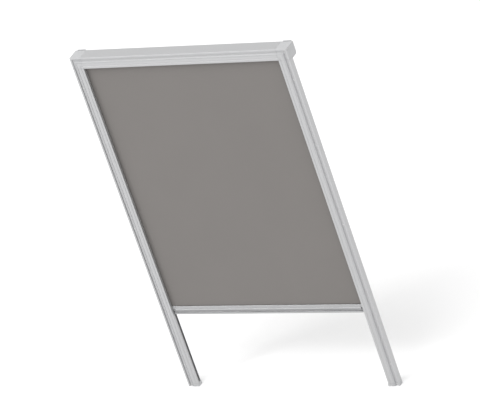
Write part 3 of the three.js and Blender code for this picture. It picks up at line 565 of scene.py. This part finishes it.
tube_metal = anodised("tube_aluminium", "X", (0.47, 0.472, 0.478), (0.52, 0.522, 0.528))
acetal = moulded_plastic("plug_acetal", (0.74, 0.735, 0.71), (0.80, 0.795, 0.77),
                         roughness=0.34, grain_depth=0.01 * mm)
spline_plastic = moulded_plastic("spline_plastic", (0.12, 0.12, 0.125), (0.16, 0.16, 0.165),
                                 roughness=0.5)
rod_steel = plated_steel("rod_steel", (0.50, 0.50, 0.50), (0.62, 0.62, 0.62), 0.25)
spring_wire = plated_steel("spring_wire", (0.20, 0.20, 0.205), (0.30, 0.30, 0.31), 0.32)
roller_finishes = {
    "roller_tube": tube_metal, "idler_plug": acetal, "drive_plug": acetal,
    "spring_collar": acetal, "fabric_key_spline": spline_plastic, "spring_rod": rod_steel,
    "idler_pin": rod_steel, "torsion_spring": spring_wire}
for name, material in roller_finishes.items():
    dressed(softened(cad[name]), material)


# Fabric: woven polyester with a matt blackout coating, warm grey, cut with a hot knife so
# that its edges don't fray. One sheet runs from the roll down into the bar.

fabric_low, fabric_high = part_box("blackout_fabric")
fabric_thickness = 0.3 * mm
thread_pitch = 0.42 * mm
pitch_at_scale_one = 0.05 * 2 * math.pi


def blackout_cloth(name, along, dark, light):
    """Coated plain weave: two crossed sets of threads, with slubs and a faint cloudiness."""
    material, tree, shader, coordinates = new_finish(name)
    threads = []
    for axis in along:
        bands = add_node(tree, "ShaderNodeTexWave", {
            "Vector": coordinates, "Scale": pitch_at_scale_one / thread_pitch,
            "Distortion": 0.6, "Detail": 2.0, "Detail Scale": 1.2},
            wave_type="BANDS", bands_direction=axis, wave_profile="SIN")
        threads.append(bands.outputs["Fac"])
    weave = add_node(tree, "ShaderNodeMix", {"Factor": 0.5, "A": threads[0], "B": threads[1]})
    slubs = add_node(tree, "ShaderNodeTexNoise", {
        "Vector": coordinates, "Scale": 900.0, "Detail": 3.0})
    cloud = add_node(tree, "ShaderNodeTexNoise", {
        "Vector": coordinates, "Scale": 6.0, "Detail": 3.0})
    tone = add_node(tree, "ShaderNodeMix", {
        "Factor": 0.5, "A": weave.outputs["Result"], "B": slubs.outputs["Fac"]})
    tone = add_node(tree, "ShaderNodeMix", {
        "Factor": 0.3, "A": tone.outputs["Result"], "B": cloud.outputs["Fac"]})
    colour = toned(tree, tone.outputs["Result"], dark, light)
    relief = add_node(tree, "ShaderNodeBump", {
        "Height": tone.outputs["Result"], "Strength": 0.35, "Distance": 0.08 * mm})
    tree.links.new(colour, shader.inputs["Base Color"])
    tree.links.new(relief.outputs["Normal"], shader.inputs["Normal"])
    shader.inputs["Roughness"].default_value = 0.82
    shader.inputs["Sheen Weight"].default_value = 0.15
    shader.inputs["Sheen Roughness"].default_value = 0.5
    return material


cloth_dark, cloth_light = (0.148, 0.138, 0.131), (0.165, 0.154, 0.146)
cloth = blackout_cloth("blackout_cloth", ("X", "Z"), cloth_dark, cloth_light)
roll_cloth = blackout_cloth("roll_cloth", ("X", "Y"), cloth_dark, cloth_light)
bar_low, bar_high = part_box("bottom_bar")
bar_gap = 0.3 * mm
roll_gap = 2.6 * mm
hem_half_width = bar_high.x - bar_gap
edge_bottom = bar_high.z + bar_gap
sheet_top = fabric_high.z - roll_gap
sheet_columns = 74
waves = ((0.05 * mm, 31.0, 0.0), (0.03 * mm, 83.0, 1.0))


def sheet_row(drawn, reach, height, depth):
    """Corners from edge to edge of the sheet, with the cloth's faint waves."""
    points = []
    for i in range(sheet_columns + 1):
        x = reach * (2 * i / sheet_columns - 1)
        wave = sum(size * math.sin(x * rate + shift) for size, rate, shift in waves)
        points.append(drawn.verts.new((x, depth + wave, height)))
    return points


def hung_sheet():
    """The sheet, drawn only at its upper and lower edges so that it stays straight between."""
    drawn = bmesh.new()
    rows = ((fabric_high.x, sheet_top), (fabric_high.x, edge_bottom),
            (hem_half_width, fabric_low.z))
    near, far = [[sheet_row(drawn, reach, height, depth) for reach, height in rows]
                 for depth in (fabric_low.y, fabric_low.y + fabric_thickness)]
    for layer in (near, far):
        for upper, lower in zip(layer, layer[1:]):
            for i in range(sheet_columns):
                drawn.faces.new((upper[i], upper[i + 1], lower[i + 1], lower[i]))
    for i in range(sheet_columns):
        drawn.faces.new((near[0][i], near[0][i + 1], far[0][i + 1], far[0][i]))
        drawn.faces.new((near[-1][i], near[-1][i + 1], far[-1][i + 1], far[-1][i]))
    for k in range(len(near) - 1):
        for end in (0, sheet_columns):
            drawn.faces.new((near[k][end], near[k + 1][end], far[k + 1][end], far[k][end]))
    return mesh_object("fabric_sheet", drawn)


sheet = dressed(hung_sheet(), cloth)
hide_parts("blackout_fabric")
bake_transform(sheet)

# The rest of the same sheet, wound on the roller: one spiral whose turns lie on each other,
# with a short straight tail that leads down to the hanging sheet.
roll_low, roll_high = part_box("fabric_roll")
winding_pitch = 0.34 * mm
roll_radius = (roll_high.y - roll_low.y) / 2 + winding_pitch / 4
tube_radius = 11.0 * mm
winding_gap = 0.15 * mm
tangent_gap, tail_gap = 0.3 * mm, 0.05 * mm
roller_centre = Vector((0, fabric_low.y + roll_radius, fabric_high.z + tangent_gap))
tail_length = roller_centre.z - sheet_top - tail_gap


def wound_loop():
    """The spiral's outline as seen along the roller: the outer face, then the inner one back."""
    steps_per_turn = 64
    per_step = winding_pitch / steps_per_turn
    steps = int((roll_radius - fabric_thickness - winding_gap - tube_radius) / per_step)
    outer = [Vector((-roll_radius, -tail_length))]
    inner = [Vector((fabric_thickness - roll_radius, -tail_length))]
    for back in range(steps + 1):
        angle = math.pi * (1 - 2 * back / steps_per_turn)
        radius = roll_radius - back * per_step
        direction = Vector((math.cos(angle), math.sin(angle)))
        outer.append(direction * radius)
        inner.append(direction * (radius - fabric_thickness))
    return outer + inner[::-1]


wound_outline = wound_loop()
roll = extrusion("fabric_wound", [wound_outline], roll_low.x, roll_high.x,
                 lambda point, run: roller_centre + Vector((run, point[0], point[1])))
dressed(roll, roll_cloth)
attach(roll, "roller")
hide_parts("fabric_roll")


# Bottom bar: a satin aluminium extrusion with a flat ledge, a rounded nose to pull by and a
# finger groove under it. A plastic spline holds the fabric's hem in a round pocket behind
# the ledge.

bar_height = 26.0
bar_back = 18.0
ledge_face, nose_face, lip_face = 9.6, 8.0, 10.2
lip_height, nose_bottom, nose_top = 5.4, 12.4, 17.4
finger_groove_depth = 3.2
bar_edge = 0.6
bar_wall = 1.2
hem_pocket_radius, hem_pocket_height, hem_slot = 1.55, 20.3, 1.0
seal_place, seal_mouth, seal_width, seal_neck, seal_height = 15.4, 1.6, 3.0, 1.2, 1.0
nose_steps, hem_steps = 20, 24
sheet_middle = (fabric_low.y - front + fabric_thickness / 2) / mm


def half_oval(start, end, face, reach, steps):
    """Points from height start to height end that swell out from face by reach."""
    points = []
    for i in range(steps + 1):
        angle = math.pi * i / steps
        height = start + (end - start) * (1 - math.cos(angle)) / 2
        points.append((face + reach * math.sin(angle), height))
    return points


def bar_loops():
    """The bar's outline, with its hem pocket and seal slot, and its hollow, as depth and
    height."""
    slot_angle = math.degrees(math.asin(hem_slot / 2 / hem_pocket_radius))
    outer = half_oval(lip_height, nose_bottom, lip_face, finger_groove_depth, nose_steps)
    outer += half_oval(nose_bottom, nose_top, ledge_face, nose_face - ledge_face, nose_steps)
    outer += [(ledge_face, bar_height), (sheet_middle - hem_slot / 2, bar_height)]
    outer += arc((sheet_middle, hem_pocket_height), hem_pocket_radius,
                 90 + slot_angle, 450 - slot_angle, hem_steps)
    outer += [(sheet_middle + hem_slot / 2, bar_height), (bar_back, bar_height), (bar_back, 0)]
    seal_top = seal_neck + seal_height
    for side in (1, -1):
        steps = [(seal_mouth / 2, 0), (seal_mouth / 2, seal_neck), (seal_width / 2, seal_neck),
                 (seal_width / 2, seal_top)]
        outer += [(seal_place + side * reach, height) for reach, height in steps[::side]]
    outer += [(lip_face, 0)]
    hollow_back, hollow_floor = bar_back - bar_wall, seal_top + bar_wall
    groove_wall = lip_face + finger_groove_depth + bar_wall
    hem_wall = sheet_middle + hem_pocket_radius + bar_wall
    hollow_top = bar_height - bar_wall
    hollow = [
        (groove_wall, hollow_floor), (hollow_back, hollow_floor), (hollow_back, hollow_top),
        (hem_wall, hollow_top), (hem_wall, hem_pocket_height - bar_wall),
        (sheet_middle, hem_pocket_height - hem_pocket_radius - bar_wall),
        (sheet_middle, nose_bottom + bar_wall), (groove_wall, nose_bottom)]
    return [rounded(outer, bar_edge), rounded(hollow, extrusion_edge)]


def bar_place(point, run):
    """Where a corner of the bar's section lies, at a place along the blind's width."""
    return Vector((run, front + point[0] * mm, bar_low.z + point[1] * mm))


# The bar's base colour is set darker than the channels' to stand in for shade, and its painted
# shade in the recesses is the strongest, darkest in the finger groove.
bar_metal = anodised("bar_aluminium", "X", (0.37, 0.372, 0.378), (0.41, 0.412, 0.418),
                     painted_shade_tone=0.3, painted_shade_reach=10 * mm, roughness=0.28)
bar_profile = extrusion("pull_bar", bar_loops(), bar_low.x, bar_high.x, bar_place)
dressed(bar_profile, bar_metal)
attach(bar_profile, "bar")
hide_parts("bottom_bar")
dressed(softened(cad["hem_spline"]), spline_plastic)


# Pile strips: short grey polyester pile on a woven backing, pushed into slots in the
# channels, the head and the bar, where they keep the light out.

def pile(name, dark, light):
    """Short upright fibres, lighter at their tips; the darker tone between them is painted shade.
    """
    material, tree, shader, coordinates = new_finish(name)
    fibres = add_node(tree, "ShaderNodeTexNoise", {
        "Vector": coordinates, "Scale": 3600.0, "Detail": 4.0, "Roughness": 0.8})
    colour = toned(tree, fibres.outputs["Fac"], dark, light)
    relief = add_node(tree, "ShaderNodeBump", {
        "Height": fibres.outputs["Fac"], "Strength": 0.8, "Distance": 0.2 * mm})
    tree.links.new(colour, shader.inputs["Base Color"])
    tree.links.new(relief.outputs["Normal"], shader.inputs["Normal"])
    shader.inputs["Roughness"].default_value = 1.0
    shader.inputs["Sheen Weight"].default_value = 0.3
    return material


pile_strip = pile("pile_strip", (0.24, 0.237, 0.232), (0.46, 0.455, 0.447))
for name in ("channel_seal_left", "channel_seal_right", "head_light_seal", "bar_seal"):
    dressed(cad[name], pile_strip)


# Guide cords: thin braided polyester. Each runs down one channel, across inside the bar and
# on down the other channel, with a crimped ferrule at both ends.

def braid(name, dark, light):
    """Matt braided strands, which cross the cord at a slant."""
    material, tree, shader, coordinates = new_finish(name)
    strands = add_node(tree, "ShaderNodeTexWave", {
        "Vector": coordinates, "Scale": 260.0, "Distortion": 1.5, "Detail": 1.0},
        wave_type="BANDS", bands_direction="DIAGONAL", wave_profile="SIN")
    colour = toned(tree, strands.outputs["Fac"], dark, light)
    relief = add_node(tree, "ShaderNodeBump", {
        "Height": strands.outputs["Fac"], "Strength": 0.5, "Distance": 0.08 * mm})
    tree.links.new(colour, shader.inputs["Base Color"])
    tree.links.new(relief.outputs["Normal"], shader.inputs["Normal"])
    shader.inputs["Roughness"].default_value = 0.75
    return material


cord_braid = braid("cord_braid", (0.55, 0.55, 0.54), (0.70, 0.70, 0.685))
cord_radius = 0.5 * mm
cord_sides = 12


def straight_cord(node):
    """An upright stretch, drawn only at its two ends so that it stays straight between."""
    low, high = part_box(node)
    centre = (low + high) / 2
    drawn = bmesh.new()
    circle = []
    for i in range(cord_sides):
        angle = 2 * math.pi * i / cord_sides
        circle.append((centre.x + cord_radius * math.cos(angle),
                       centre.y + cord_radius * math.sin(angle)))
    lower, upper = [[drawn.verts.new((x, y, height)) for x, y in circle]
                    for height in (low.z, high.z)]
    for i in range(cord_sides):
        drawn.faces.new((lower[i - 1], lower[i], upper[i], upper[i - 1]))
    drawn.faces.new(lower)
    drawn.faces.new(upper)
    cord = dressed(mesh_object(f"{node}_braid", drawn), cord_braid)
    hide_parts(node)
    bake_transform(cord)


for hand in ("left", "right"):
    straight_cord(f"upper_cord_{hand}")
    straight_cord(f"lower_cord_{hand}")
    for name in ("top_ferrule", "foot_ferrule"):
        dressed(softened(cad[f"{name}_{hand}"]), screw_steel)
for name in ("cross_cord_front", "cross_cord_rear"):
    dressed(softened(cad[name]), cord_braid)


# Studio: a plain pale floor, one large soft light high in front of the middle, a weaker one
# high on the left, and an even pale surrounding.

floor_material, _, floor_shader, _ = new_finish("studio_floor")
floor_shader.inputs["Base Color"].default_value = (0.92, 0.92, 0.92, 1)
floor_shader.inputs["Roughness"].default_value = 0.9
floor_half = 30.0
floor_drawn = bmesh.new()
floor_corners = ((-1, -1), (1, -1), (1, 1), (-1, 1))
floor_drawn.faces.new([floor_drawn.verts.new((x * floor_half, y * floor_half, 0))
                       for x, y in floor_corners])
floor = dressed(mesh_object("studio_floor", floor_drawn), floor_material)

world = bpy.data.worlds.new("studio")
world.use_nodes = True
world.node_tree.nodes["Background"].inputs["Color"].default_value = (1, 1, 1, 1)
world.node_tree.nodes["Background"].inputs["Strength"].default_value = 1.05
bpy.context.scene.world = world


def soft_light(name, place, target, size, power):
    """A square light that faces its target, with its size in metres and its power in watts."""
    data = bpy.data.lights.new(name, "AREA")
    data.shape = "SQUARE"
    data.size = size
    data.energy = power
    light = bpy.data.objects.new(name, data)
    light.location = place
    light.rotation_euler = (Vector(target) - Vector(place)).to_track_quat("-Z", "Y").to_euler()
    bpy.context.scene.collection.objects.link(light)


blind_middle = (0, 0, 0.5)
soft_light("key_light", (-0.4, -2.8, 6.0), blind_middle, size=3.0, power=115)
soft_light("side_light", (-4.4, -4.6, 5.9), blind_middle, size=1.6, power=105)
bpy.context.scene.view_settings.view_transform = "Standard"


# Camera: a long lens from the right, above and in front, rolled as the photograph is. Its
# place and its two directions were worked out from edges that are parallel on the real object.

camera_data = bpy.data.cameras.new("photo_camera")
camera_data.sensor_width = 36.0
camera_data.lens = 342.6
camera_data.clip_start = 0.1
camera_data.clip_end = 200.0
camera = bpy.data.objects.new("photo_camera", camera_data)
right = Vector((0.86463, 0.40853, -0.29242))
up = Vector((0.02013, 0.55340, 0.83267))
turn = Matrix((right, up, right.cross(up))).transposed()
camera_place = Vector((5.8723, -8.4513 + front, 6.0275))
camera.matrix_world = Matrix.Translation(camera_place) @ turn.to_4x4()
bpy.context.scene.collection.objects.link(camera)
bpy.context.scene.camera = camera
